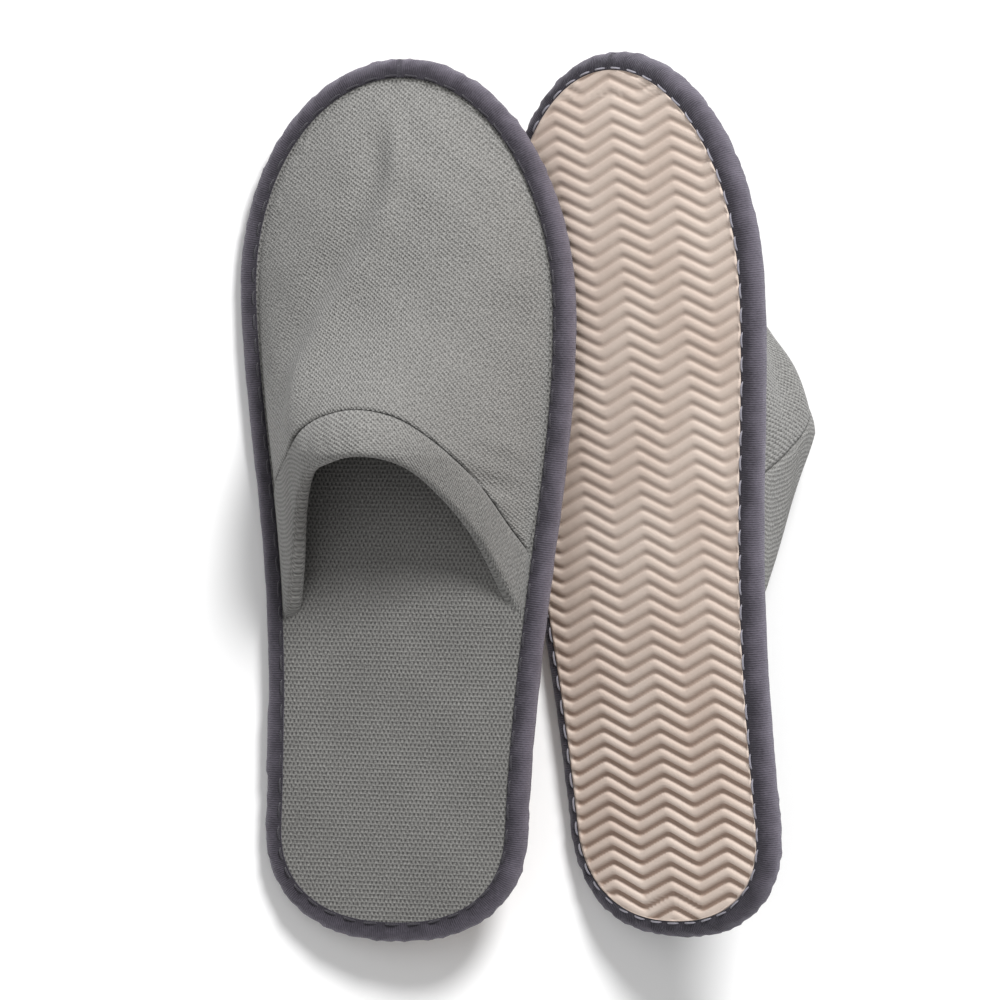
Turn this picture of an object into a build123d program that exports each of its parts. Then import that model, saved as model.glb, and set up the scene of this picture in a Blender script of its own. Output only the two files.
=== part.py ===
"""A pair of closed-toe, open-heel spa slippers.

The left slipper lies face up.  The right slipper lies beside it with its sole up,
leaning on its own upper, and carries the left slipper's edge.

Each slipper is built in its own frame: X to its right, Y to its toe, Z up from the
tread, with the origin half-way along the sole.  Both are then placed side by side.
"""
from build123d import *
import math
import os

# Sole outline
HALF_LENGTH = 145.0
BALL_Y = 66.0          # widest place, where the toe curve starts
BALL_HALF_WIDTH = 57.8
HEEL_Y = -107.0        # where the heel curve starts
HEEL_HALF_WIDTH = 45.3
HEEL_SQUARENESS = 2.3
WAIST = 1.5            # how far the flanks draw in half-way
BOW = 3.4              # sideways bow of the centre line
BOW_END = 128.0

# Sole layers, upwards from the tread
TAPE = 0.8
SOLE_TOP = 8.4
OUTSOLE_TOP = 4.4
FOAM_TOP = 7.4
RIM_CUT = 2.6          # slanted edges of the tape and of the sandwich inside it
CORE_CUT = 2.0
LAYER_GAP = 0.1
TAPE_BELOW = 5.8       # width of the tape on the tread side
TAPE_ABOVE = 6.6       # width of the tape on the footbed side

# Zigzag tread
RIDGE_PITCH = 4.85
GROOVE_WIDTH = 2.0
GROOVE_DEPTH = 1.2
ZIG_LENGTH = 12.7
ZIG_RISE = 4.8
TREAD_MARGIN = 1.0

# Threads
THREAD = 0.6
THREAD_PROUD = 0.25
NEEDLE_INSET = 5.8
NEEDLE_Z = SOLE_TOP + TAPE + THREAD_PROUD - THREAD
BOBBIN_INSET = 4.7
BOBBIN_Z = -THREAD_PROUD

# Upper: a lopsided arch that rises towards the throat
UPPER_INSET = 7.1
FOOT_DROP = 1.0        # how far the surfaces run on below the footbed before they are trimmed
TOE_RISE = 22.8
THROAT_RISE = 57.7
THROAT_Y = 15.0
RISE_LENGTH = 33.4
RISE_POWER = 1.914
THROAT_FALL = 0.45     # how fast the arch sinks behind the throat
CREST_SHIFT = -0.23    # crest to the left of the middle, as a share of the half width
SHIFT_LENGTH = 54.6
TOE_FORM = (2.2, 0.871)
LEFT_FORM = (2.5, 0.85)
RIGHT_FORM = (1.35, 1.1)
OUTER_FABRIC = 1.3
PADDING = 2.2
LINING = 1.2
HEM_THICKNESS = 4.8
HEM_PROUD = 0.4
SEAM_HALF_GAP = 0.45
THREAD_HALF = 0.3
THROAT = (
    (-36.9, -41.0), (-35.6, -32.7), (-33.0, -19.5), (-31.1, -6.0), (-27.0, 6.5),
    (-17.7, 12.5), (-4.2, 14.5), (8.1, 10.9), (20.2, 0.3), (29.2, -11.0),
    (36.4, -24.0), (41.5, -35.0), (43.4, -42.0),
)
SEAM = (
    (-38.4, 1.0), (-34.0, 15.0), (-28.6, 22.5), (-18.7, 28.0), (-6.9, 29.7),
    (5.6, 27.0), (16.8, 19.8), (28.8, 8.3), (39.2, -6.6), (44.9, -20.0),
)
ACROSS = 10            # points across each section of the upper
FLANK_STATIONS = 6     # sections behind the ball
BACK_REACH = 122.0     # from the ball back past the throat's ends
SIDE_LEAD = 8.0
SIDE_REACH = 80.0
PRISM_HEIGHT = 90.0

# Resting places of the two slippers
LEFT_PLACE = (-31.4, 0.0)
LEFT_TURN = -0.7
LEFT_PITCH = 0.8
LEFT_ROLL = 17.6
LEFT_LEAN = 0.22       # sideways lean of the free upper
RIGHT_PLACE = (45.6, 1.0)
RIGHT_TURN = 4.5
RIGHT_PITCH = 3.6
RIGHT_TILT = 136.0
RIGHT_LEAN = 0.0       # the upper that carries the right slipper doesn't lean


# Outline

def ease(share):
    """Smooth step from 0 to 1."""
    return 3 * share**2 - 2 * share**3


def half_width(y, inset=0.0):
    """Half width of the sole at y, for an outline that lies inset from the rim."""
    if y > BALL_Y:
        reach = HALF_LENGTH - BALL_Y - inset
        share = min(1.0, (y - BALL_Y) / reach)
        return (BALL_HALF_WIDTH - inset) * math.sqrt(1 - share**2)
    if y < HEEL_Y:
        reach = HALF_LENGTH + HEEL_Y - inset
        share = min(1.0, (HEEL_Y - y) / reach)
        return (HEEL_HALF_WIDTH - inset) * (1 - share**HEEL_SQUARENESS) ** (1 / HEEL_SQUARENESS)
    share = (y - HEEL_Y) / (BALL_Y - HEEL_Y)
    flare = (BALL_HALF_WIDTH - HEEL_HALF_WIDTH) * ease(share)
    return HEEL_HALF_WIDTH + flare - WAIST * math.sin(math.pi * share) ** 2 - inset


def middle(y):
    """Sideways place of the bowed centre line."""
    if abs(y) >= BOW_END:
        return 0.0
    return BOW * (1 - (y / BOW_END) ** 2) ** 2


def rim_points(inset):
    """Points round the rim, from the toe down the right side and up the left one."""
    toe_reach = HALF_LENGTH - BALL_Y - inset
    heel_reach = HALF_LENGTH + HEEL_Y - inset
    toe = [BALL_Y + toe_reach * math.cos(math.radians(a)) for a in range(0, 90, 15)]
    flank = [BALL_Y + (HEEL_Y - BALL_Y) * k / 6 for k in range(7)]
    heel = [HEEL_Y - heel_reach * math.sin(math.radians(a)) for a in range(18, 91, 18)]
    stations = toe + flank + heel
    right = [(middle(y) + half_width(y, inset), y) for y in stations]
    left = [(middle(y) - half_width(y, inset), y) for y in reversed(stations[1:-1])]
    return right + left


def rim_line(inset):
    """The closed outline of arcs that lies inset from the rim."""
    points = rim_points(inset)
    with BuildLine(mode=Mode.PRIVATE) as rim:
        for k in range(0, len(points), 2):
            ThreePointArc(points[k], points[k + 1], points[(k + 2) % len(points)])
    return rim.edges()


# Sole

def make_core():
    """The sandwich of sole layers inside the tape, with cut-back edges."""
    with BuildPart() as core:
        with BuildSketch(Plane.XY.offset(TAPE + LAYER_GAP)):
            make_face(rim_line(TAPE + LAYER_GAP))
        extrude(amount=SOLE_TOP - TAPE - LAYER_GAP)
        chamfer(core.edges().filter_by(GeomType.CIRCLE), length=CORE_CUT)
    return core.part


def make_thread_ring(inset, start, width=THREAD):
    """A closed ring of thread at one inset from the rim."""
    with BuildPart() as ring:
        with BuildSketch(Plane.XY.offset(start)):
            make_face(rim_line(inset - width / 2))
            make_face(rim_line(inset + width / 2), mode=Mode.SUBTRACT)
        extrude(amount=THREAD)
    return ring.part


def make_outsole(core):
    with BuildPart() as outsole:
        add(core)
        split(bisect_by=Plane.XY.offset(OUTSOLE_TOP), keep=Keep.BOTTOM)
        with BuildSketch():
            make_face(rim_line(TAPE_BELOW + LAYER_GAP))
        extrude(amount=OUTSOLE_TOP / 2)
        with BuildSketch():
            rows = int(2 * HALF_LENGTH / RIDGE_PITCH)
            zigs = int(2 * BALL_HALF_WIDTH / ZIG_LENGTH) + 2
            for row in range(-rows // 2, rows // 2 + 2):
                front = []
                for zig in range(zigs):
                    x = (zig - zigs // 2) * ZIG_LENGTH
                    front.append((x, row * RIDGE_PITCH + ZIG_RISE * (zig % 2)))
                back = [(x, y + GROOVE_WIDTH) for x, y in reversed(front)]
                Polygon(*front, *back, align=None)
            make_face(rim_line(TAPE_BELOW + TREAD_MARGIN), mode=Mode.INTERSECT)
        extrude(amount=GROOVE_DEPTH, mode=Mode.SUBTRACT)
    return outsole.part


def make_insole_foam(core):
    with BuildPart() as insole_foam:
        add(core)
        split(bisect_by=Plane.XY.offset(OUTSOLE_TOP), keep=Keep.TOP)
        split(bisect_by=Plane.XY.offset(FOAM_TOP), keep=Keep.BOTTOM)
    return insole_foam.part


def make_insole_cover(core):
    with BuildPart() as insole_cover:
        add(core)
        split(bisect_by=Plane.XY.offset(FOAM_TOP), keep=Keep.TOP)
    return insole_cover.part


def make_edge_binding(core):
    channel = THREAD + 2 * LAYER_GAP
    with BuildPart() as edge_binding:
        with BuildSketch():
            make_face(rim_line(0.0))
        extrude(amount=SOLE_TOP + TAPE)
        chamfer(edge_binding.edges().filter_by(GeomType.CIRCLE), length=RIM_CUT)
        add(core, mode=Mode.SUBTRACT)
        with BuildSketch():
            make_face(rim_line(TAPE_BELOW))
        extrude(amount=TAPE + LAYER_GAP, mode=Mode.SUBTRACT)
        with BuildSketch(Plane.XY.offset(SOLE_TOP)):
            make_face(rim_line(TAPE_ABOVE))
        extrude(amount=TAPE, mode=Mode.SUBTRACT)
        add(make_thread_ring(NEEDLE_INSET, NEEDLE_Z, channel), mode=Mode.SUBTRACT)
        add(make_thread_ring(BOBBIN_INSET, BOBBIN_Z, channel), mode=Mode.SUBTRACT)
    return edge_binding.part


def make_edge_stitch_top():
    with BuildPart() as edge_stitch_top:
        add(make_thread_ring(NEEDLE_INSET, NEEDLE_Z + LAYER_GAP))
    return edge_stitch_top.part


def make_edge_stitch_bottom():
    with BuildPart() as edge_stitch_bottom:
        add(make_thread_ring(BOBBIN_INSET, BOBBIN_Z - LAYER_GAP))
    return edge_stitch_bottom.part


# Upper

def arch_rise(y):
    """Height of the crest above the sole at y, before the toe curve takes it down."""
    if y < THROAT_Y:
        return THROAT_RISE - THROAT_FALL * (THROAT_Y - y)
    fade = math.exp(-(((y - THROAT_Y) / RISE_LENGTH) ** RISE_POWER))
    return TOE_RISE + (THROAT_RISE - TOE_RISE) * fade


def upper_width(y, inset):
    """Half width of the upper's foot at y."""
    toe_reach = HALF_LENGTH - BALL_Y - UPPER_INSET - inset
    width = half_width(min(y, BALL_Y), UPPER_INSET + inset)
    return width * math.sqrt(1 - (max(0.0, y - BALL_Y) / toe_reach) ** 2)


def arch_height(across, y, inset):
    """Height of the upper's surface at a share of its half width, -1 left to 1 right."""
    toe_share = max(0.0, y - BALL_Y) / (HALF_LENGTH - BALL_Y - UPPER_INSET - inset)
    throat_share = math.exp(-((max(0.0, y - THROAT_Y) / SHIFT_LENGTH) ** 2))
    crest = CREST_SHIFT * throat_share
    across *= math.sqrt(1 - toe_share**2)
    if across < crest:
        side_share = (crest - across) / (1 + crest)
        throat_form = LEFT_FORM
    else:
        side_share = (across - crest) / (1 - crest)
        throat_form = RIGHT_FORM
    spread = TOE_FORM[0] + (throat_form[0] - TOE_FORM[0]) * throat_share
    fullness = TOE_FORM[1] + (throat_form[1] - TOE_FORM[1]) * throat_share
    reach = math.hypot(side_share, toe_share)
    form = max(0.0, 1 - reach**spread) ** fullness
    return SOLE_TOP - FOOT_DROP - inset + (arch_rise(y) + FOOT_DROP) * form


def make_dome(inset, lean):
    """Everything under the upper's surface, for a surface that lies inset from the outside."""
    toe_reach = HALF_LENGTH - BALL_Y - UPPER_INSET - inset
    toe = [BALL_Y + toe_reach * math.sin(math.radians(a)) for a in (82, 62, 42, 20)]
    flank = [BALL_Y - BACK_REACH * k / FLANK_STATIONS for k in range(FLANK_STATIONS + 1)]
    with BuildPart() as dome:
        for y in toe + flank:
            arch = []
            for k in range(ACROSS + 1):
                across = -math.cos(math.pi * k / ACROSS)
                z = arch_height(across, y, inset)
                x = middle(y) + across * upper_width(y, inset) + lean * (z - SOLE_TOP)
                arch.append((x, z))
            with BuildSketch(Plane.XZ.offset(-y)):
                with BuildLine():
                    Spline(*arch)
                    Line(arch[-1], arch[0])
                make_face()
        loft()
    return dome.part


def make_layer(domes, outside, inside, plan, lean):
    """The layer between two surfaces of the upper, trimmed to a closed plan."""
    with BuildPart() as layer:
        with BuildSketch(Plane.XY.offset(SOLE_TOP + LAYER_GAP)):
            make_face(plan)
        extrude(amount=PRISM_HEIGHT, dir=(lean, 0, 1))
        add(domes[outside], mode=Mode.INTERSECT)
        add(domes[inside], mode=Mode.SUBTRACT)
    return layer.part


def make_plan(front, back):
    """Closed plan between two curves that run from left to right."""
    with BuildLine(mode=Mode.PRIVATE) as plan:
        Spline(*front)
        Spline(*back)
        Line(front[0], back[0])
        Line(front[-1], back[-1])
    return plan.edges()


def moved_points(points, shift):
    """Points moved along the slipper, with the curve's ends led out past the sides."""
    path = [(x, y + shift) for x, y in points]
    first = (path[0][0] - SIDE_LEAD, path[0][1] - SIDE_LEAD)
    last = (path[-1][0] + SIDE_LEAD, path[-1][1] - SIDE_LEAD)
    return [first, *path, last]


def make_upper(lean):
    """The three layers of the vamp, its hem band and the hem's thread."""
    ahead = [(-SIDE_REACH, HALF_LENGTH), (0, 1.1 * HALF_LENGTH), (SIDE_REACH, HALF_LENGTH)]
    vamp_plan = make_plan(ahead, moved_points(SEAM, SEAM_HALF_GAP))
    hem_plan = make_plan(moved_points(SEAM, -SEAM_HALF_GAP), moved_points(THROAT, 0.0))
    thread_plan = make_plan(moved_points(SEAM, THREAD_HALF), moved_points(SEAM, -THREAD_HALF))
    padding_inset = OUTER_FABRIC + LAYER_GAP
    lining_inset = padding_inset + PADDING + LAYER_GAP
    layers = {
        "upper_outer": (0.0, OUTER_FABRIC, vamp_plan),
        "upper_foam": (padding_inset, padding_inset + PADDING, vamp_plan),
        "upper_lining": (lining_inset, lining_inset + LINING, vamp_plan),
        "throat_hem": (-HEM_PROUD, HEM_THICKNESS, hem_plan),
        "hem_stitch": (-THREAD_PROUD, THREAD, thread_plan),
    }
    insets = {inset for outside, inside, _ in layers.values() for inset in (outside, inside)}
    domes = {inset: make_dome(inset, lean) for inset in insets}
    return {
        name: make_layer(domes, outside, inside, plan, lean)
        for name, (outside, inside, plan) in layers.items()
    }


# Assembly

sole_core = make_core()
sole_pieces = {
    "outsole": make_outsole(sole_core),
    "insole_foam": make_insole_foam(sole_core),
    "insole_cover": make_insole_cover(sole_core),
    "edge_binding": make_edge_binding(sole_core),
    "edge_stitch_top": make_edge_stitch_top(),
    "edge_stitch_bottom": make_edge_stitch_bottom(),
}
left_turn = Rotation(0, 0, LEFT_TURN) * Rotation(LEFT_PITCH, 0, 0) * Rotation(0, -LEFT_ROLL, 0)
right_turn = Rotation(0, 0, RIGHT_TURN) * Rotation(RIGHT_PITCH, 0, 0) * Rotation(0, RIGHT_TILT, 0)
slippers = (
    ("left", LEFT_PLACE, left_turn, LEFT_LEAN),
    ("right", RIGHT_PLACE, right_turn, RIGHT_LEAN),
)

pair = []
origins = {}
for side, place, turn, lean in slippers:
    pieces = sole_pieces | make_upper(lean)
    turned = {name: turn * piece for name, piece in pieces.items()}
    lowest = min(piece.bounding_box().min.Z for piece in turned.values())
    origins[side] = Vector(place[0], place[1], -lowest)
    for name, piece in turned.items():
        placed = Pos(origins[side]) * piece
        placed.label = f"{side}_{name}"
        pair.append(placed)

box = pair[0].bounding_box()
for piece in pair:
    box = box.add(piece.bounding_box())
to_origin = Vector(-box.center().X, -box.center().Y, -box.min.Z)
os.makedirs("parts", exist_ok=True)
for piece in pair:
    final = Pos(to_origin) * piece
    final.label = piece.label
    export_step(final, f"parts/{piece.label}.step")
for side, origin in origins.items():
    print(side, "slipper's own origin lies at", tuple(origin + to_origin))
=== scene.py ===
"""Spa slippers: the visible surfaces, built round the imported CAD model.

Each slipper's surfaces are worked out in its own frame, in millimetres, with the same
outline and arch formulas as the CAD model, and then placed where its CAD nodes lie.
"""
import math

import bmesh
import bpy
import numpy as np
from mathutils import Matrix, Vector


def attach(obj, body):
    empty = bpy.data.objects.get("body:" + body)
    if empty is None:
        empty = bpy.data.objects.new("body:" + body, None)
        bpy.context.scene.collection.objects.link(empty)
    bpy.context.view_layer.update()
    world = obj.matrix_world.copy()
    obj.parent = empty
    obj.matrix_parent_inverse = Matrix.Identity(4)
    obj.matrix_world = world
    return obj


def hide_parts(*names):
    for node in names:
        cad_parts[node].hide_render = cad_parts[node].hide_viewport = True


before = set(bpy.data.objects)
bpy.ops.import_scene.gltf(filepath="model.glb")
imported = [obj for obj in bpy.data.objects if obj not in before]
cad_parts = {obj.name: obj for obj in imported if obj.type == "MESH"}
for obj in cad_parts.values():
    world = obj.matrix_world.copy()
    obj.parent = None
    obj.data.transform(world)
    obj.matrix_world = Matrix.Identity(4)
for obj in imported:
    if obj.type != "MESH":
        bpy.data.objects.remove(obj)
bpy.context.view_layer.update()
MM = 0.001

# Sole outline and layers, as in the CAD model
HALF_LENGTH = 145.0
BALL_Y = 66.0
BALL_HALF_WIDTH = 57.8
HEEL_Y = -107.0
HEEL_HALF_WIDTH = 45.3
HEEL_SQUARENESS = 2.3
WAIST = 1.5
BOW = 3.4
BOW_END = 128.0
TAPE = 0.8
TAPE_BELOW = 5.8
TAPE_ABOVE = 6.6
LAYER_GAP = 0.1
OUTSOLE_TOP = 4.4
FOAM_TOP = 7.4
SOLE_TOP = 8.4
RIDGE_PITCH = 4.85
GROOVE_DEPTH = 1.2
ZIG_LENGTH = 12.7
ZIG_RISE = 4.8

# Details that only these surfaces have
ZIG_SHARPNESS = 0.975  # 1 gives pointed turns
GROOVE_PHASE = 0.206   # where in each pitch the groove lies
GROOVE_FLOOR = 0.09    # half the groove's floor, and one of its walls, as shares of the pitch
GROOVE_WALL = 0.2
RIDGE_CROWN = 0.16
TREAD_INSET = TAPE_BELOW + LAYER_GAP
FOAM_INSET = 2.1
COVER_INSET = 3.3
COVER_CROWN = 0.25
RIM_DEPTH = 3.9        # how far in the tape's rounded edge reaches
# Painted light: the tape is painted palest along this line on its rounded edge, and darker away from it as
# painted shade towards its inner edges.
PAINTED_HIGHLIGHT_LINE = 9.5      # how far across the flat tape its palest line lies
LAP_RISE = 0.42        # where one end of the tape lies over the other
LAP_LENGTH = 17
LAP_FADE = 9
STITCH_PITCH = 8.0
STITCH_LENGTH = 5.2
STITCH_RADIUS = 0.33
NEEDLE_INSET = 5.9
BOBBIN_INSET = 5.2
HEM_STITCH_PITCH = 3.2
HEM_STITCH_HALF = 1.1
HEM_STITCH_RADIUS = 0.3
ROW_STEP = 0.58        # between the tread's rows of points
TAPE_STEP = 1.6
STITCH_STEP = 0.8
FACE_GAP = 0.02        # between one layer's top and the next layer
ALMOST_ONE = 0.99999   # keeps the end rows of the sole's grids from closing to a point
FOOT_LEVEL = SOLE_TOP - 0.05  # where the upper's foot ends
FULL_REACH = 0.9998    # stops a curve just short of the point where it would close

# Arch of the upper, as in the CAD model
UPPER_INSET = 7.1
FOOT_DROP = 1.0
TOE_RISE = 22.8
THROAT_RISE = 57.7
THROAT_Y = 15.0
RISE_LENGTH = 33.4
RISE_POWER = 1.914
THROAT_FALL = 0.45
CREST_SHIFT = -0.23
SHIFT_LENGTH = 54.6
TOE_FORM = (2.2, 0.871)
LEFT_FORM = (2.5, 0.85)
RIGHT_FORM = (1.35, 1.1)
OUTER_FABRIC = 1.3
PADDING = 2.2
LINING = 1.2
HEM_THICKNESS = 4.8
HEM_PROUD = 0.4
THROAT = (
    (-36.9, -41.0), (-35.6, -32.7), (-33.0, -19.5), (-31.1, -6.0), (-27.0, 6.5),
    (-17.7, 12.5), (-4.2, 14.5), (8.1, 10.9), (20.2, 0.3), (29.2, -11.0),
    (36.4, -24.0), (41.5, -35.0), (43.4, -42.0),
)
SEAM = (
    (-38.4, 1.0), (-34.0, 15.0), (-28.6, 22.5), (-18.7, 28.0), (-6.9, 29.7),
    (5.6, 27.0), (16.8, 19.8), (28.8, 8.3), (39.2, -6.6), (44.9, -20.0),
)

# Turns of the two slippers, as in the CAD model: yaw, pitch and roll in degrees.
# The lean is how far the upper leans sideways for each millimetre of its height.
LEFT_TURN = (-0.7, 0.8, -17.6)
LEFT_LEAN = 0.22
RIGHT_TURN = (4.5, 3.6, 136.0)
RIGHT_LEAN = 0.0


# Outline and arch

def ease(share):
    """Smooth step from 0 to 1, held outside."""
    share = np.clip(share, 0, 1)
    return 3 * share**2 - 2 * share**3


def half_width(y, inset=0.0):
    """Half width of the sole at y, for an outline that lies inset from the rim."""
    y = np.asarray(y, float)
    toe_share = np.clip((y - BALL_Y) / (HALF_LENGTH - BALL_Y - inset), 0, 1)
    toe = (BALL_HALF_WIDTH - inset) * np.sqrt(1 - toe_share**2)
    heel_share = np.clip((HEEL_Y - y) / (HALF_LENGTH + HEEL_Y - inset), 0, 1)
    heel = (HEEL_HALF_WIDTH - inset) * (1 - heel_share**HEEL_SQUARENESS) ** (1 / HEEL_SQUARENESS)
    share = (y - HEEL_Y) / (BALL_Y - HEEL_Y)
    flare = (BALL_HALF_WIDTH - HEEL_HALF_WIDTH) * ease(share)
    flank = HEEL_HALF_WIDTH + flare - WAIST * np.sin(math.pi * np.clip(share, 0, 1)) ** 2 - inset
    return np.where(y > BALL_Y, toe, np.where(y < HEEL_Y, heel, flank))


def middle(y):
    """Sideways place of the bowed centre line."""
    share = np.clip(np.abs(np.asarray(y, float)) / BOW_END, 0, 1)
    return BOW * (1 - share**2) ** 2


def arch_rise(y):
    """Height of the crest above the sole at y."""
    fade = np.exp(-((np.clip(y - THROAT_Y, 0, None) / RISE_LENGTH) ** RISE_POWER))
    fall = THROAT_FALL * np.clip(THROAT_Y - y, 0, None)
    return TOE_RISE + (THROAT_RISE - TOE_RISE) * fade - fall


def arch_point(across, y, inset, lean):
    """Points of the upper's surface at shares across the slipper, -1 left to 1 right."""
    toe_reach = HALF_LENGTH - BALL_Y - UPPER_INSET - inset
    toe_share = np.clip((y - BALL_Y) / toe_reach, 0, 1)
    narrowing = np.sqrt(1 - toe_share**2)
    width = half_width(np.minimum(y, BALL_Y), UPPER_INSET + inset) * narrowing
    throat_share = np.exp(-((np.clip(y - THROAT_Y, 0, None) / SHIFT_LENGTH) ** 2))
    crest = CREST_SHIFT * throat_share
    place = across * narrowing
    left = place < crest
    side_share = np.where(left, (crest - place) / (1 + crest), (place - crest) / (1 - crest))
    spread = np.where(left, LEFT_FORM[0], RIGHT_FORM[0]) * throat_share + TOE_FORM[0] * (1 - throat_share)
    fullness = np.where(left, LEFT_FORM[1], RIGHT_FORM[1]) * throat_share + TOE_FORM[1] * (1 - throat_share)
    reach = np.hypot(side_share, toe_share)
    form = np.clip(1 - reach**spread, 0, None) ** fullness
    z = SOLE_TOP - FOOT_DROP - inset + (arch_rise(y) + FOOT_DROP) * form
    x = middle(y) + across * width + lean * (z - SOLE_TOP)
    return np.stack([x, y, z], -1)


def edge_along(points):
    """The y of a plan curve as a function of the share across the slipper."""
    shares = []
    for x, y in points:
        shares.append((x - float(middle(y))) / float(half_width(y, UPPER_INSET)))
    shares[0] = -1.0
    shares[-1] = 1.0
    angles = np.arccos(-np.clip(shares, -1, 1))
    heights = np.array([y for _, y in points])
    slopes = np.gradient(heights, angles)

    def y_at(across):
        angle = np.arccos(-np.clip(across, -1, 1))
        k = np.clip(np.searchsorted(angles, angle) - 1, 0, len(angles) - 2)
        step = angles[k + 1] - angles[k]
        t = (angle - angles[k]) / step
        start = (1 + 2 * t) * (1 - t) ** 2 * heights[k] + t * (1 - t) ** 2 * step * slopes[k]
        end = t**2 * (3 - 2 * t) * heights[k + 1] + t**2 * (t - 1) * step * slopes[k + 1]
        return start + end
    return y_at


seam_y = edge_along(SEAM)
throat_y = edge_along(THROAT)


# Soft noise with no random draws

def ripple(x, y, length, seed=0.0):
    """Smooth irregular waves about 1 high, of a given length."""
    u = 2 * math.pi * x / length
    v = 2 * math.pi * y / length
    first = np.sin(u + 1.7 * np.sin(0.61 * v + seed))
    second = np.cos(0.83 * v + 1.3 * np.sin(0.47 * u + 2.1 * seed))
    return first * second + 0.4 * np.sin(1.9 * u + 1.4 * v + 3.3 * seed)


# Meshes

def grid_faces(rows, columns, start=0, closed_rows=False, closed_columns=False, flip=False):
    """Quads between the points of a grid."""
    faces = []
    for i in range(rows if closed_rows else rows - 1):
        for j in range(columns if closed_columns else columns - 1):
            a = start + i * columns + j
            b = start + i * columns + (j + 1) % columns
            c = start + (i + 1) % rows * columns + (j + 1) % columns
            d = start + (i + 1) % rows * columns + j
            faces.append((a, d, c, b) if flip else (a, b, c, d))
    return faces


def rim_of(rows, columns):
    """Indices round the edge of a grid."""
    rim = list(range(columns))
    rim += [i * columns + columns - 1 for i in range(1, rows)]
    rim += [(rows - 1) * columns + j for j in range(columns - 2, -1, -1)]
    rim += [i * columns for i in range(rows - 2, 0, -1)]
    return rim


class Slipper:
    """One slipper: where its own frame lies, and how its pieces are made."""

    def __init__(self, side, turn, lean):
        self.side = side
        self.body = f"{side}_slipper"
        self.lean = lean
        yaw, pitch, roll = (math.radians(a) for a in turn)
        about_z = [[math.cos(yaw), -math.sin(yaw), 0], [math.sin(yaw), math.cos(yaw), 0], [0, 0, 1]]
        about_x = [[1, 0, 0], [0, math.cos(pitch), -math.sin(pitch)], [0, math.sin(pitch), math.cos(pitch)]]
        about_y = [[math.cos(roll), 0, math.sin(roll)], [0, 1, 0], [-math.sin(roll), 0, math.cos(roll)]]
        self.turn = np.array(about_z) @ np.array(about_x) @ np.array(about_y)
        self.origin = self.find_origin()

    def find_origin(self):
        """The slipper's origin in the row frame, from where its foam layer lies."""
        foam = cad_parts[f"{self.side}_insole_foam"].data
        corners = np.array([v.co for v in foam.vertices]) @ self.turn
        low, high = corners.min(0), corners.max(0)
        stations = np.linspace(-HALF_LENGTH, HALF_LENGTH, 2001)
        widths = half_width(stations, TAPE + LAYER_GAP)
        right = (middle(stations) + widths).max() * MM
        local = np.array([high[0] - right, (low[1] + high[1]) / 2, high[2] - FOAM_TOP * MM])
        return self.turn @ local

    def make(self, name, points, faces, cloth, slot_name, material):
        """Adds one piece from points in the slipper's frame, in millimetres."""
        placed = np.asarray(points) * MM @ self.turn.T + self.origin
        placed[:, 2] = np.maximum(placed[:, 2], 0)  # soft cloth flattens where it meets the floor
        mesh = bpy.data.meshes.new(f"{self.side}_{name}_surface")
        mesh.from_pydata(placed.tolist(), [], faces)
        mesh.validate()
        shaped = bmesh.new()
        shaped.from_mesh(mesh)
        bmesh.ops.recalc_face_normals(shaped, faces=shaped.faces)
        shaped.to_mesh(mesh)
        shaped.free()
        mesh.polygons.foreach_set("use_smooth", [True] * len(mesh.polygons))
        layer = mesh.attributes.new("cloth", "FLOAT_VECTOR", "POINT")
        flat = np.zeros((len(points), 3), np.float32)
        flat[:, : np.asarray(cloth).shape[1]] = cloth
        layer.data.foreach_set("vector", flat.ravel())
        piece = bpy.data.objects.new(f"{self.side}_{name}_surface", mesh)
        bpy.context.scene.collection.objects.link(piece)
        piece.data.materials.append(material)
        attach(piece, self.body)
        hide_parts(f"{self.side}_{name}")
        return piece

    def shell(self, name, outer, inner, cloth, slot_name, material):
        """A closed layer between two grids of the same size."""
        rows, columns = outer.shape[:2]
        count = rows * columns
        points = np.concatenate([outer.reshape(-1, 3), inner.reshape(-1, 3)])
        faces = grid_faces(rows, columns) + grid_faces(rows, columns, count, flip=True)
        rim = rim_of(rows, columns)
        for a, b in zip(rim, rim[1:] + rim[:1]):
            faces.append((b, a, a + count, b + count))
        cloth = np.concatenate([cloth.reshape(-1, 2)] * 2)
        return self.make(name, points, faces, cloth, slot_name, material)

    def slab(self, name, top, floor_z, cloth, slot_name, material):
        """A closed body between a grid and a level base."""
        rows, columns = top.shape[:2]
        rim = rim_of(rows, columns)
        base = top.reshape(-1, 3)[rim].copy()
        base[:, 2] = floor_z
        count = rows * columns
        points = np.concatenate([top.reshape(-1, 3), base])
        faces = grid_faces(rows, columns)
        for k, a in enumerate(rim):
            b = rim[(k + 1) % len(rim)]
            faces.append((b, a, count + k, count + (k + 1) % len(rim)))
        faces.append(list(range(count, count + len(rim)))[::-1])
        flat = np.concatenate([cloth.reshape(-1, 2), cloth.reshape(-1, 2)[rim]])
        return self.make(name, points, faces, flat, slot_name, material)


# Materials

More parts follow.
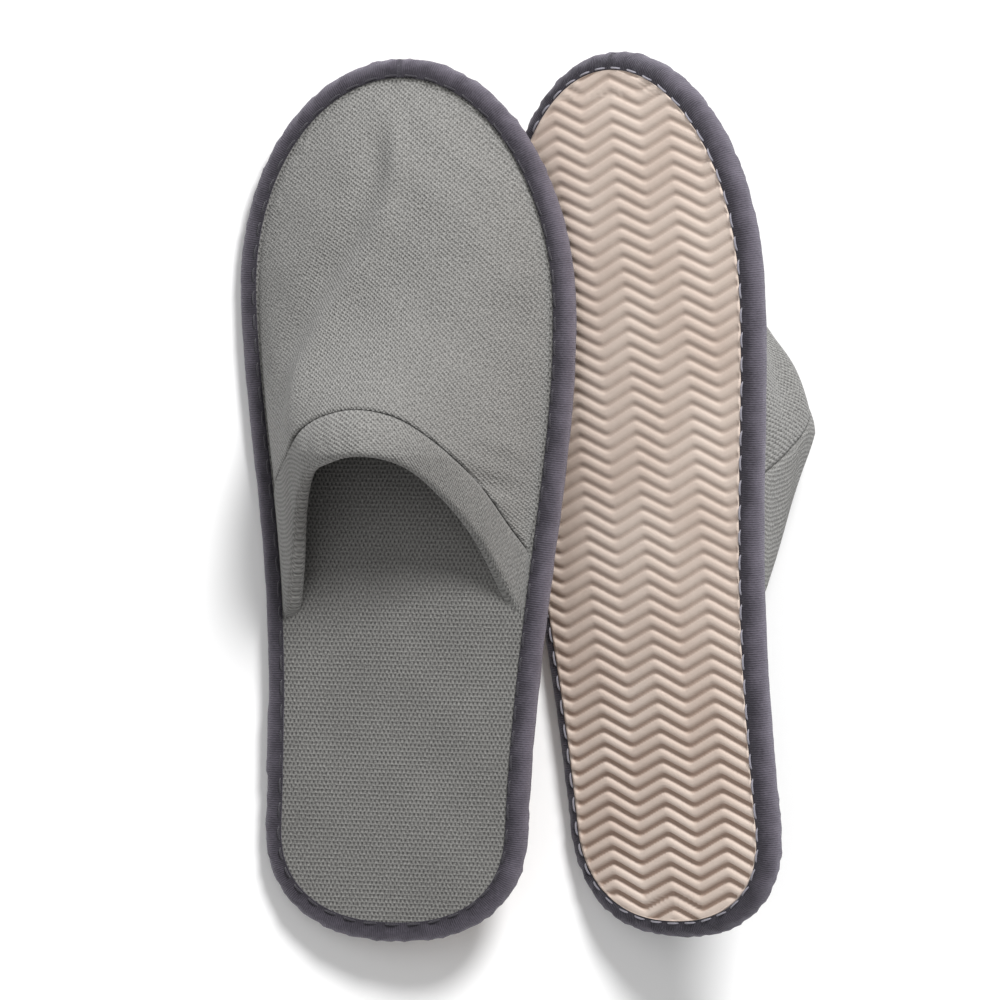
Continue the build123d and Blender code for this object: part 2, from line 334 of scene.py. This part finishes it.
class Nodes:
    """Short-hand for a material's node tree."""

    def __init__(self, name):
        self.material = bpy.data.materials.new(name)
        self.material.use_nodes = True
        self.tree = self.material.node_tree
        self.tree.nodes.clear()
        self.output = self.tree.nodes.new("ShaderNodeOutputMaterial")
        self.shader = self.tree.nodes.new("ShaderNodeBsdfPrincipled")
        self.tree.links.new(self.shader.outputs[0], self.output.inputs[0])
        flat = self.tree.nodes.new("ShaderNodeAttribute")
        flat.attribute_name = "cloth"
        split = self.tree.nodes.new("ShaderNodeSeparateXYZ")
        self.tree.links.new(flat.outputs["Vector"], split.inputs[0])
        self.flat = flat.outputs["Vector"]
        self.u, self.v, self.w = split.outputs[0], split.outputs[1], split.outputs[2]

    def put(self, socket, value):
        """Links a socket, or sets it to a constant."""
        if isinstance(value, bpy.types.NodeSocket):
            self.tree.links.new(value, socket)
        else:
            socket.default_value = value

    def sum(self, kind, a, b=0.0, c=0.0):
        """A math node of some kind, such as ADD, on sockets or numbers."""
        node = self.tree.nodes.new("ShaderNodeMath")
        node.operation = kind
        for socket, value in zip(node.inputs, (a, b, c)):
            self.put(socket, value)
        return node.outputs[0]

    def wave(self, coordinate, pitch, shift=0.0):
        """A sine from -1 to 1 that repeats every pitch."""
        turns = self.sum("MULTIPLY_ADD", coordinate, 2 * math.pi / pitch, shift)
        return self.sum("SINE", turns)

    def slanted(self, degrees):
        """Flat coordinates turned by an angle."""
        c, s = math.cos(math.radians(degrees)), math.sin(math.radians(degrees))
        along = self.sum("ADD", self.sum("MULTIPLY", self.u, c), self.sum("MULTIPLY", self.v, s))
        across = self.sum("SUBTRACT", self.sum("MULTIPLY", self.v, c), self.sum("MULTIPLY", self.u, s))
        return along, across

    def noise(self, scale, detail=3.0, stretch=(1.0, 1.0, 1.0)):
        """Noise from 0 to 1 on the flat coordinates, with waves of 1/scale mm."""
        mapping = self.tree.nodes.new("ShaderNodeMapping")
        self.put(mapping.inputs["Vector"], self.flat)
        mapping.inputs["Scale"].default_value = stretch
        node = self.tree.nodes.new("ShaderNodeTexNoise")
        self.put(node.inputs["Vector"], mapping.outputs[0])
        node.inputs["Scale"].default_value = scale
        node.inputs["Detail"].default_value = detail
        return node.outputs["Fac"]

    def ramp(self, value, low, high):
        """A share from 0 at low to 1 at high, held outside."""
        node = self.tree.nodes.new("ShaderNodeMapRange")
        self.put(node.inputs["Value"], value)
        node.inputs["From Min"].default_value = low
        node.inputs["From Max"].default_value = high
        return node.outputs[0]

    def mix(self, share, a, b):
        """Mixes two colours."""
        node = self.tree.nodes.new("ShaderNodeMix")
        node.data_type = "RGBA"
        self.put(node.inputs["Factor"], share)
        self.put(node.inputs["A"], a)
        self.put(node.inputs["B"], b)
        return node.outputs["Result"]

    def finish(self, colour, height, depth, roughness, sheen=0.0, sheen_tint=(1, 1, 1, 1)):
        """Joins colour, bump (its depth in mm) and roughness to the shader."""
        bump = self.tree.nodes.new("ShaderNodeBump")
        self.put(bump.inputs["Height"], height)
        bump.inputs["Distance"].default_value = depth * MM
        bump.inputs["Strength"].default_value = 1.0
        self.put(self.shader.inputs["Normal"], bump.outputs[0])
        self.put(self.shader.inputs["Base Color"], colour)
        self.put(self.shader.inputs["Roughness"], roughness)
        self.shader.inputs["Specular IOR Level"].default_value = 0.25
        self.shader.inputs["Sheen Weight"].default_value = sheen
        self.shader.inputs["Sheen Roughness"].default_value = 0.5
        self.shader.inputs["Sheen Tint"].default_value = sheen_tint
        return self.material


def shade(red, green, blue):
    """A linear colour from the 0 to 255 values seen on a screen."""
    linear = []
    for value in (red, green, blue):
        value = value / 255
        linear.append(value / 12.92 if value < 0.04045 else ((value + 0.055) / 1.055) ** 2.4)
    return (*linear, 1.0)


def knit_material(name, dark, light, pitch, angle, sheen=0.2, depth=0.5):
    """Fine knit: rows of loops at an angle, in yarn of two close shades, with painted light on the raised
    loops and painted shade in the gaps between them.
    """
    n = Nodes(name)
    along, across = n.slanted(angle)
    wobble = n.sum("MULTIPLY", n.noise(0.35), 0.5 * pitch)
    row = n.wave(n.sum("ADD", across, wobble), pitch)
    lean = n.sum("MULTIPLY", row, 1.1)
    loop = n.wave(n.sum("ADD", along, n.sum("MULTIPLY", n.noise(0.5), pitch)), 0.86 * pitch, lean)
    yarn = n.sum("MULTIPLY_ADD", loop, 0.16, n.sum("MULTIPLY", row, 0.2))
    fibre = n.noise(1.1, 6.0)
    height = n.sum("MULTIPLY_ADD", fibre, 1.3, yarn)
    # The colour follows the knit's height: the yarn's melange tone, plus painted light on the raised loops
    # and fibres and painted shade in the gaps between them.
    tone = n.sum("ADD", height, n.sum("MULTIPLY", n.noise(0.05), 0.15))
    colour = n.mix(n.ramp(tone, 0.3, 1.2), dark, light)
    return n.finish(colour, height, depth, 0.93, sheen)


def dotted_material(name, dark, light, dot, pitch):
    """Flat knit with rows of small dark pin dots."""
    n = Nodes(name)
    row = n.wave(n.v, 2 * pitch)
    step = n.sum("GREATER_THAN", row, 0.0)
    column = n.wave(n.u, pitch, n.sum("MULTIPLY", step, math.pi))
    bead = n.sum("MULTIPLY", n.ramp(column, -0.3, 1.0), n.ramp(n.sum("ABSOLUTE", row), 0.1, 1.0))
    fibre = n.noise(1.5, 5.0)
    cloth = n.mix(n.ramp(n.sum("MULTIPLY_ADD", n.noise(0.04), 0.2, fibre), 0.35, 0.85), dark, light)
    colour = n.mix(n.sum("MULTIPLY", bead, 0.7), cloth, dot)
    course = n.sum("MULTIPLY", n.sum("ABSOLUTE", row), 0.35)
    height = n.sum("SUBTRACT", n.sum("SUBTRACT", fibre, course), n.sum("MULTIPLY", bead, 0.5))
    return n.finish(colour, height, 0.45, 0.94, 0.2)


def tape_material(name, dark, light):
    """Fine woven tape: weft across, warp along, with a slight sheen, a painted highlight along its rounded
    edge and painted shade towards its inner edges.
    """
    n = Nodes(name)
    warp = n.wave(n.v, 0.9)
    weft = n.wave(n.u, 0.75, n.sum("MULTIPLY", n.sum("GREATER_THAN", warp, 0.0), math.pi))
    weave = n.sum("MULTIPLY", warp, weft)
    fibre = n.noise(2.4, 4.0, (1.0, 0.35, 1.0))
    height = n.sum("MULTIPLY_ADD", weave, 0.3, fibre)
    patch = n.noise(0.12, 5.0)
    # Painted highlight and shade: palest along the line on the rounded edge, and painted darker towards the
    # inner edges next to the sole and the upper.
    from_line = n.sum("ABSOLUTE", n.sum("SUBTRACT", n.v, PAINTED_HIGHLIGHT_LINE))
    painted_light_band = n.sum("SUBTRACT", 0.34, n.sum("MULTIPLY", from_line, 0.09))
    tone = n.sum("ADD", n.sum("MULTIPLY", height, 0.6), n.sum("MULTIPLY_ADD", patch, 0.7, painted_light_band))
    colour = n.mix(n.ramp(tone, 0.3, 1.25), dark, light)
    return n.finish(colour, height, 0.3, n.ramp(fibre, -1.2, 1.3), 0.25, (0.85, 0.82, 0.95, 1))


def tread_material(name, groove, land, crest):
    """Foamed rubber: dull and finely pitted, with painted shade darkening the grooves, so paler along the
    ridges.
    """
    n = Nodes(name)
    grain = n.noise(2.2, 5.0)
    pits = n.ramp(n.noise(5.5, 2.0), 0.36, 0.3)
    patch = n.noise(0.03, 3.0)
    body = n.mix(n.ramp(n.sum("MULTIPLY_ADD", grain, 0.35, patch), 0.45, 0.9), land, crest)
    # Painted shade: the groove share in the third cloth coordinate mixes in the darker groove colour.
    colour = n.mix(n.ramp(n.sum("MULTIPLY_ADD", grain, 0.12, n.w), 0.25, 1.0), body, groove)
    height = n.sum("SUBTRACT", grain, n.sum("MULTIPLY", pits, 0.5))
    return n.finish(colour, height, 0.14, 0.72)


def thread_material(name, dark, light):
    """Twisted sewing thread."""
    n = Nodes(name)
    twist = n.wave(n.sum("ADD", n.u, n.v), 0.55)
    colour = n.mix(n.ramp(twist, -0.8, 0.9), dark, light)
    return n.finish(colour, twist, 0.06, 0.6, 0.3)


def foam_material(name, dark, light):
    """Open-cell foam."""
    n = Nodes(name)
    cells = n.tree.nodes.new("ShaderNodeTexVoronoi")
    n.put(cells.inputs["Vector"], n.flat)
    cells.inputs["Scale"].default_value = 1.6
    cell = cells.outputs["Distance"]
    return n.finish(n.mix(n.ramp(cell, 0.1, 0.6), dark, light), cell, 0.3, 0.95)


# The knits' dark and light greys serve both the yarn's melange and the painted shade and light between and
# on the loops.
KNIT_DARK = shade(92, 91, 89)
KNIT_LIGHT = shade(163, 162, 159)
UPPER_KNIT = knit_material("upper_knit", KNIT_DARK, KNIT_LIGHT, 1.15, -38)
HEM_KNIT = knit_material("hem_knit", KNIT_DARK, KNIT_LIGHT, 1.15, -38)
# The lining's greys are painted dark, as painted shade inside the foot cavity under the arch.
SHADED_LINING_CLOTH = knit_material("lining_fabric", shade(44, 44, 43), shade(84, 83, 82), 1.1, 20, sheen=0.1)
FOOTBED_KNIT = dotted_material(
    "footbed_knit", shade(90, 89, 87), shade(148, 147, 144), dot=shade(48, 47, 48), pitch=1.42
)
BINDING_TAPE = tape_material("binding_tape", shade(44, 41, 48), shade(116, 110, 122))
# The groove colour is painted shade for the tread's grooves; land and crest are the rubber's own tones,
# mixed at random.
SOLE_RUBBER = tread_material(
    "sole_foam_rubber", groove=shade(168, 145, 131), land=shade(212, 193, 180), crest=shade(226, 210, 198)
)
GREY_THREAD = thread_material("grey_thread", shade(96, 95, 94), shade(140, 139, 138))
DARK_THREAD = thread_material("dark_thread", shade(34, 32, 38), shade(66, 62, 72))
PALE_THREAD = thread_material("pale_thread", shade(112, 109, 120), shade(184, 181, 192))
SOFT_FOAM = foam_material("soft_foam", shade(150, 146, 138), shade(205, 202, 194))


# Sole pieces

def sole_rows():
    """Stations along the sole as shares of its half length, closer together at its ends."""
    plain = np.arange(-0.94, 0.94, ROW_STEP / HALF_LENGTH)
    ends = 1 - 0.06 * (1 - np.sin(np.linspace(0, math.pi / 2, 22)[1:])) ** 1.4
    ends[-1] = ALMOST_ONE
    return np.concatenate([-ends[::-1], plain, ends])


def sole_grid(rows, columns, inset):
    """Points of a level grid that fills the outline inset from the rim."""
    across = np.linspace(-1, 1, columns)[None, :]
    y = rows[:, None] * (HALF_LENGTH - inset)
    x = middle(y) + across * half_width(y, inset)
    return x + 0 * y, y + 0 * x


def rim_distance(x, y, inset):
    """Rough distance inwards from the outline that lies inset from the rim."""
    side = half_width(y, inset) - np.abs(x - middle(y))
    end = HALF_LENGTH - inset - np.abs(y)
    return np.minimum(side, end)


def tread_depth(x, y):
    """How deep the tread's grooves are at a point, and the share of a full groove."""
    turn = np.cos(math.pi * x / ZIG_LENGTH)
    zig = ZIG_RISE * (0.5 + 0.5 * np.arcsin(ZIG_SHARPNESS * turn) / math.asin(ZIG_SHARPNESS))
    wander = 0.12 * ripple(x, y, 60, 0.4)
    phase = np.mod((y - zig + wander) / RIDGE_PITCH, 1.0)
    off = np.abs(phase - GROOVE_PHASE)
    off = np.minimum(off, 1 - off)
    share = 1 - ease((off - GROOVE_FLOOR) / GROOVE_WALL)
    strength = 0.5 + 0.5 * ease((5 - y) / 120)
    inside = ease(rim_distance(x, y, TREAD_INSET) / 0.9)
    crown = RIDGE_CROWN * ease((off - 0.2) / 0.3)
    depth = (GROOVE_DEPTH * share + RIDGE_CROWN - crown) * strength * inside
    return depth, share * strength * inside


def outsole(slipper):
    """The tread underneath, and the body above it that the tape covers."""
    rows, columns = sole_rows(), 96
    x, y = sole_grid(rows, columns, TREAD_INSET)
    depth, share = tread_depth(x, y)
    bottom = np.stack([x, y, depth], -1)
    rim = rim_of(len(rows), columns)
    tape_z = TAPE + LAYER_GAP
    # Inset and height of each ring of the body, which the tape covers
    rings = [(TREAD_INSET, tape_z), (2.9, tape_z), (1.4, 2.9), (1.2, OUTSOLE_TOP - FACE_GAP)]
    points = [bottom.reshape(-1, 3)]
    for inset, z in rings:
        ring_x, ring_y = sole_grid(rows, columns, inset)
        ring = np.stack([ring_x, ring_y, ring_x * 0 + z], -1).reshape(-1, 3)[rim]
        points.append(ring)
    faces = grid_faces(len(rows), columns, flip=True)
    count = len(rows) * columns
    below = rim
    for k in range(len(rings)):
        above = [count + k * len(rim) + j for j in range(len(rim))]
        for j in range(len(rim)):
            m = (j + 1) % len(rim)
            faces.append((below[j], below[m], above[m], above[j]))
        below = above
    faces.append(tuple(below))
    points = np.concatenate(points)
    cloth = points.copy()
    cloth[:, 2] = 0
    # The groove share, kept in the third cloth coordinate, tells the material where to paint shade into the
    # grooves.
    cloth[:count, 2] = share.ravel()
    return slipper.make("outsole", points, faces, cloth, "sole_foam_rubber", SOLE_RUBBER)


def sole_layer(slipper, name, inset, low, high, crown, slot_name, material):
    """A layer of the sole sandwich, a little crowned on top."""
    half_rows = np.sin(np.linspace(-math.pi / 2, math.pi / 2, 121))
    half_rows[0], half_rows[-1] = -ALMOST_ONE, ALMOST_ONE
    columns = 49
    x, y = sole_grid(half_rows, columns, inset)
    inward = rim_distance(x, y, TAPE_ABOVE + 1)
    z = high + crown * ease(inward / 14) * (0.6 + 0.4 * ripple(x, y, 55, 0.7))
    top = np.stack([x, y, z], -1)
    flat = np.stack([x, y], -1)
    return slipper.slab(name, top, low, flat, slot_name, material)


def rim_path(spacing):
    """Even points round the rim with their outward directions and distances along it."""
    angles = np.linspace(0, 2 * math.pi, 4001)[:-1]
    y = HALF_LENGTH * np.cos(angles)
    side = np.where(angles < math.pi, 1.0, -1.0)
    x = middle(y) + side * half_width(y)
    path = np.stack([x, y], -1)
    steps = np.linalg.norm(np.roll(path, -1, 0) - path, axis=1)
    run = np.concatenate([[0], np.cumsum(steps)])
    count = int(round(run[-1] / spacing))
    stops = np.arange(count) * run[-1] / count
    closed = np.concatenate([path, path[:1]])
    even = np.stack([np.interp(stops, run, closed[:, k]) for k in (0, 1)], -1)
    ahead = np.roll(even, -1, 0) - np.roll(even, 1, 0)
    ahead /= np.linalg.norm(ahead, axis=1, keepdims=True)
    outward = np.stack([-ahead[:, 1], ahead[:, 0]], -1)
    if np.sum((even - even.mean(0)) * outward) < 0:
        outward = -outward
    return even, outward, stops, run[-1]


def tape_section(count):
    """Inset and height of the tape's outer face, from below, round the edge, to above."""
    below = [(TAPE_BELOW - (TAPE_BELOW - RIM_DEPTH) * t, 0.0) for t in np.linspace(0, 1, 6)[:-1]]
    middle_z = (SOLE_TOP + TAPE) / 2
    round_edge = []
    for angle in np.linspace(-math.pi / 2, math.pi / 2, count):
        c, s = math.cos(angle), math.sin(angle)
        round_edge.append((RIM_DEPTH * (1 - c), middle_z * (1 + math.copysign(abs(s) ** 0.95, s))))
    top_width = TAPE_ABOVE - RIM_DEPTH
    above = [(RIM_DEPTH + top_width * t, SOLE_TOP + TAPE) for t in np.linspace(0, 1, 8)[1:]]
    return np.array(below + round_edge + above)


def edge_binding(slipper, overlap_at):
    """The tape folded round the rim, puckered at its stitches and gathered at the ends.

    Its ends lap at overlap_at, a share of the way round the rim.
    """
    path, outward, run, length = rim_path(TAPE_STEP)
    section = tape_section(15)
    ahead = np.gradient(section, axis=0)
    normal = np.stack([-ahead[:, 1], ahead[:, 0]], -1)
    normal /= np.linalg.norm(normal, axis=1, keepdims=True)
    width = np.concatenate([[0], np.cumsum(np.linalg.norm(np.diff(section, axis=0), axis=1))])
    rows, columns = len(path), len(section)
    u = run[:, None] + np.zeros((1, columns))
    v = width[None, :] + np.zeros((rows, 1))
    ends = ease((np.abs(path[:, 1:2]) - 70) / 60)
    gathers = (0.05 + 0.25 * ends) * ripple(u, v, 9.0, 1.3) + 0.08 * ripple(u, 3 * v, 31.0, 0.2)
    beat = 0.5 + 0.5 * np.cos(2 * math.pi * run[:, None] / STITCH_PITCH)
    top_line = np.exp(-(((section[None, :, 0] - NEEDLE_INSET) / 0.9) ** 2)) * (section[None, :, 1] > 5)
    low_line = np.exp(-(((section[None, :, 0] - BOBBIN_INSET) / 0.9) ** 2)) * (section[None, :, 1] < 4)
    pucker = -(top_line + low_line) * (0.12 + 0.3 * beat)
    behind = np.mod(run[:, None] - overlap_at * length, length)
    lap = LAP_RISE * ease(behind / 0.8) * (1 - ease((behind - LAP_LENGTH) / LAP_FADE))
    held = np.minimum(ease(v / 2.0 + 0.3), ease((width[-1] - v) / 2.0 + 0.3))
    lift = (gathers - 0.24) * held * (1 - top_line - low_line) + pucker + lap
    skins = []
    for lower in (0.0, TAPE):
        offset = (lift - lower)[:, :, None] * normal[None]
        inset = section[None, :, 0] + offset[:, :, 0]
        z = section[None, :, 1] + offset[:, :, 1]
        x = path[:, 0:1] - outward[:, 0:1] * inset
        y = path[:, 1:2] - outward[:, 1:2] * inset
        skins.append(np.stack([x, y, z], -1))
    count = rows * columns
    points = np.concatenate([skins[0].reshape(-1, 3), skins[1].reshape(-1, 3)])
    faces = grid_faces(rows, columns, closed_rows=True)
    faces += grid_faces(rows, columns, count, closed_rows=True, flip=True)
    for i in range(rows):
        m = (i + 1) % rows
        low, low_next = i * columns, m * columns
        high, high_next = low + columns - 1, low_next + columns - 1
        faces.append((low_next, low, low + count, low_next + count))
        faces.append((high, high_next, high_next + count, high + count))
    cloth = np.concatenate([np.stack([u, v], -1).reshape(-1, 2)] * 2)
    piece = slipper.make("edge_binding", points, faces, cloth, "binding_tape", BINDING_TAPE)
    return piece, length, width[-1]


def capsule(line, radius, sides=7):
    """A closed tube of thread along points, drawn in at both ends."""
    line = np.asarray(line, float)
    ahead = np.gradient(line, axis=0)
    ahead /= np.linalg.norm(ahead, axis=1, keepdims=True)
    helper = np.array([0.13, 0.21, 0.97])
    side = np.cross(ahead, helper)
    side /= np.linalg.norm(side, axis=1, keepdims=True)
    up = np.cross(side, ahead)
    share = np.linspace(-1, 1, len(line))
    size = radius * np.clip(1 - share**6, 0.2, 1) ** 0.5
    turns = np.linspace(0, 2 * math.pi, sides, endpoint=False)
    ring = np.cos(turns)[None, :, None] * side[:, None] + np.sin(turns)[None, :, None] * up[:, None]
    points = line[:, None] + size[:, None, None] * ring
    faces = grid_faces(len(line), sides, closed_columns=True)
    faces.append(tuple(range(sides))[::-1])
    faces.append(tuple((len(line) - 1) * sides + k for k in range(sides)))
    along = np.arange(len(line))[:, None] * 0.9 + 0 * turns
    around = 0.3 * turns + 0 * share[:, None]
    return points.reshape(-1, 3), faces, np.stack([along, around], -1).reshape(-1, 2)


def join(parts):
    """Several meshes as one."""
    points, faces, cloth, start = [], [], [], 0
    for piece_points, piece_faces, piece_cloth in parts:
        points.append(piece_points)
        cloth.append(piece_cloth)
        faces += [tuple(start + k for k in face) for face in piece_faces]
        start += len(piece_points)
    return np.concatenate(points), faces, np.concatenate(cloth)


def edge_stitches(slipper, name, inset, surface_z, up, slot_name, material):
    """A row of separate stitches along the tape, each dipping into it at its ends."""
    path, outward, _, length = rim_path(STITCH_STEP)
    count = int(round(length / STITCH_PITCH))
    pitch = length / count
    parts = []
    for k in range(count):
        along = k * pitch + pitch / 2 + np.linspace(-0.5, 0.5, 9) * STITCH_LENGTH
        sway = 0.12 * math.sin(2.7 * k)
        centre = []
        for place, share in zip(along, np.linspace(-1, 1, 9)):
            at = place / length * len(path)
            k0 = int(at) % len(path)
            k1 = (k0 + 1) % len(path)
            t = at - int(at)
            spot = path[k0] * (1 - t) + path[k1] * t
            out = outward[k0] * (1 - t) + outward[k1] * t
            spot = spot - out * (inset + sway * share)
            centre.append((*spot, surface_z + up * (0.22 - 0.7 * abs(share) ** 3)))
        parts.append(capsule(centre, STITCH_RADIUS))
    points, faces, cloth = join(parts)
    return slipper.make(name, points, faces, cloth, slot_name, material)


# Upper pieces

def upper_detail(across, y):
    """Small hollows and gathers in the upper, as a shift outwards in millimetres."""
    rim = 1 - np.abs(across)
    toe = ease((y - 60) / 60)
    gathers = 0.4 * toe * np.exp(-((rim / 0.14) ** 2)) * ripple(60 * across, y, 10.0, 0.3)
    soft = 0.3 * ripple(40 * across, y, 38.0, 2.0) * ease(rim / 0.2)
    fold = np.exp(-(((across - 0.66) / 0.16) ** 2)) * np.exp(-(((y - 4) / 17) ** 2))
    ripples = 0.5 * fold * np.sin(2 * math.pi * (y + 16 * across) / 9.5)
    off = across + 0.72 * (1 - ease((y - 22) / 90))
    length = ease((y - 10) / 25) * (1 - ease((y - 108) / 22)) * ease(rim / 0.25)
    crease = length * (2.2 * np.exp(-((off / 0.1) ** 2)) - 2.3 * np.exp(-(((off + 0.19) / 0.13) ** 2)))
    return gathers + soft + ripples + crease


def arch_grid(slipper, across, y, inset, detail=True):
    """Surface points of the upper, with its small unevenness."""
    held = ease((1 - np.abs(across)) / 0.06)
    inset = inset - held * upper_detail(across, y) if detail else inset
    points = arch_point(across, y, inset, slipper.lean)
    lifted = np.maximum(points[..., 2], FOOT_LEVEL)
    points[..., 0] += slipper.lean * (lifted - points[..., 2])
    points[..., 2] = lifted
    return points


def vamp_stations(rows, columns):
    """Shares across and places along the vamp, from its seam to the toe."""
    across = -np.cos(np.linspace(0, math.pi, columns))
    across[0], across[-1] = -1, 1
    start = seam_y(across) + 0.12
    reach = HALF_LENGTH - BALL_Y - UPPER_INSET
    t = np.linspace(0, 1, rows)[:, None]
    bend = math.pi / 2 * t
    front = BALL_Y + reach * np.sin(bend) * FULL_REACH
    y = start[None, :] + (front - BALL_Y) / reach * (BALL_Y + reach - start[None, :])
    return across[None, :] + 0 * t, y


def vamp_layer(slipper, name, outside, inside, slot_name, material, rows=120, columns=110):
    """One layer of the vamp."""
    across, y = vamp_stations(rows, columns)
    reach = HALF_LENGTH - BALL_Y - UPPER_INSET
    skins = []
    for inset in (outside, inside):
        far = BALL_Y + (reach - inset) * FULL_REACH
        squeeze = (far - BALL_Y) / (reach * FULL_REACH)
        place = np.where(y > BALL_Y, BALL_Y + (y - BALL_Y) * squeeze, y)
        skins.append(arch_grid(slipper, across, place, inset))
    flat = np.stack([across * half_width(y, UPPER_INSET), y], -1)
    flat[..., 0] *= 1 + 0.35 * np.exp(-(((y - 15) / 60) ** 2))
    return slipper.shell(name, skins[0], skins[1], flat, slot_name, material)


def throat_hem(slipper):
    """The puffed band round the throat, rolled over at its free edge."""
    columns, samples = 130, 22
    across = -np.cos(np.linspace(0, math.pi, columns))
    across[0], across[-1] = -1, 1
    back = throat_y(across)
    front = seam_y(across) - 0.08
    band = front - back
    t = (1 - np.cos(np.linspace(0, math.pi, samples))) / 2
    distance = t[:, None] * band[None, :]
    free = np.clip(1 - distance / 2.3, 0, 1)
    sewn = np.clip(1 - (band[None, :] - distance) / 1.6, 0, 1)
    roll = np.sqrt(1 - free**2 * 0.999) * (1 - 0.42 * sewn**2)
    middle_inset = (HEM_THICKNESS - HEM_PROUD) / 2
    half = (HEM_THICKNESS + HEM_PROUD) / 2
    mid_band = np.sin(math.pi * t[:, None])
    puff = 1 + 0.1 * mid_band
    wall = ease((1 - np.abs(across)) / 0.05)[None, :]
    swell = 1 + (puff - 1) * wall
    tuck = 0.28 * ripple(across[None, :] * 60, distance * 0 + 3, 13, 0.9) * mid_band * wall
    outer_inset = middle_inset - half * roll * swell - tuck
    inner_inset = middle_inset + half * roll
    y = back[None, :] + distance
    outer = arch_grid(slipper, across[None, :] + 0 * y, y, outer_inset, detail=False)
    inner = arch_grid(slipper, across[None, :] + 0 * y, y, inner_inset, detail=False)
    steps = np.linalg.norm(np.diff(outer[samples // 2], axis=0), axis=1)
    length = np.cumsum(np.concatenate([[0], steps]))
    flat = np.stack([length[None, :] + 0 * y, distance], -1)
    return slipper.shell("throat_hem", outer, inner, flat, "hem_knit", HEM_KNIT)


def hem_stitches(slipper):
    """Small stitches sunk in the groove between the vamp and the hem."""
    across = -np.cos(np.linspace(0.03, math.pi - 0.03, 700))
    line = arch_grid(slipper, across, seam_y(across), 0.62, detail=False)
    steps = np.linalg.norm(np.diff(line, axis=0), axis=1)
    run = np.concatenate([[0], np.cumsum(steps)])
    count = int(run[-1] / HEM_STITCH_PITCH)
    parts = []
    for k in range(count):
        stops = (k + 0.5) * run[-1] / count + np.linspace(-HEM_STITCH_HALF, HEM_STITCH_HALF, 6)
        points = np.stack([np.interp(stops, run, line[:, c]) for c in range(3)], -1)
        parts.append(capsule(points, HEM_STITCH_RADIUS, 6))
    points, faces, cloth = join(parts)
    return slipper.make("hem_stitch", points, faces, cloth, "grey_thread", GREY_THREAD)


def sole_area(inset):
    """Flat area of a piece cut to the outline inset from the rim, in square metres."""
    y, step = np.linspace(inset - HALF_LENGTH, HALF_LENGTH - inset, 5801, retstep=True)
    return float(2 * half_width(y, inset).sum() * step) * MM**2


def build(slipper, overlap_at):
    """All the surfaces of one slipper."""
    outsole(slipper)
    foam = sole_layer(
        slipper, "insole_foam", FOAM_INSET, OUTSOLE_TOP, FOAM_TOP - FACE_GAP, 0.0, "soft_foam", SOFT_FOAM
    )
    cover = sole_layer(
        slipper, "insole_cover", COVER_INSET, FOAM_TOP, SOLE_TOP - FACE_GAP, COVER_CROWN,
        "footbed_knit", FOOTBED_KNIT,
    )
    binding, length, width = edge_binding(slipper, overlap_at)
    edge_stitches(slipper, "edge_stitch_top", NEEDLE_INSET, SOLE_TOP + TAPE, 1, "dark_thread", DARK_THREAD)
    edge_stitches(slipper, "edge_stitch_bottom", BOBBIN_INSET, 0.0, -1, "pale_thread", PALE_THREAD)
    padding = OUTER_FABRIC + LAYER_GAP
    lining = padding + PADDING + LAYER_GAP
    outer = vamp_layer(slipper, "upper_outer", 0.0, OUTER_FABRIC, "upper_knit", UPPER_KNIT)
    wadding = vamp_layer(
        slipper, "upper_foam", padding, padding + PADDING, "soft_foam", SOFT_FOAM, rows=70, columns=60
    )
    inner = vamp_layer(
        slipper, "upper_lining", lining, lining + LINING, "lining_fabric", SHADED_LINING_CLOTH, rows=90, columns=80
    )
    hem = throat_hem(slipper)
    hem_stitches(slipper)
    sole_area(COVER_INSET)


left = Slipper("left", LEFT_TURN, LEFT_LEAN)
right = Slipper("right", RIGHT_TURN, RIGHT_LEAN)
build(left, overlap_at=0.62)
build(right, overlap_at=0.44)


# Stage, light and camera

FLOOR_REACH = 3.0      # metres
FLOOR_Z = -0.0003
CAMERA_HEIGHT = 2.9
FRAME_WIDTH = 0.33025  # ground seen across the picture
FRAME_CENTRE = (-0.00781, -0.00044)
SENSOR_WIDTH = 36      # millimetres


def area_light(name, place, size, power):
    """A round lamp that points at the middle of the row."""
    light = bpy.data.lights.new(name, "AREA")
    light.shape = "DISK"
    light.size = size
    light.energy = power
    lamp = bpy.data.objects.new(name, light)
    lamp.location = place
    lamp.rotation_euler = (-Vector(place)).to_track_quat("-Z", "Y").to_euler()
    bpy.context.scene.collection.objects.link(lamp)


floor_mesh = bpy.data.meshes.new("floor")
corners = [(x * FLOOR_REACH, y * FLOOR_REACH, FLOOR_Z) for x, y in ((-1, -1), (1, -1), (1, 1), (-1, 1))]
floor_mesh.from_pydata(corners, [], [(0, 1, 2, 3)])
floor = bpy.data.objects.new("floor", floor_mesh)
bpy.context.scene.collection.objects.link(floor)
paper = Nodes("floor_paper")
floor_mesh.materials.append(paper.finish((0.95, 0.95, 0.95, 1), paper.noise(1.0), 0.0, 0.9))

world = bpy.data.worlds.new("studio")
bpy.context.scene.world = world
world.use_nodes = True
background = world.node_tree.nodes["Background"]
background.inputs["Color"].default_value = (1, 1, 1, 1)
background.inputs["Strength"].default_value = 0.38
area_light("key", (0.6, 1.25, 1.6), size=0.6, power=46)
area_light("fill", (-0.5, 0.2, 2.2), size=1.8, power=10)
bpy.context.scene.view_settings.view_transform = "Standard"

camera_data = bpy.data.cameras.new("camera")
camera = bpy.data.objects.new("camera", camera_data)
camera.location = (*FRAME_CENTRE, CAMERA_HEIGHT)
camera_data.sensor_width = SENSOR_WIDTH
camera_data.lens = SENSOR_WIDTH * CAMERA_HEIGHT / FRAME_WIDTH
camera_data.clip_end = 20
bpy.context.scene.collection.objects.link(camera)
bpy.context.scene.camera = camera
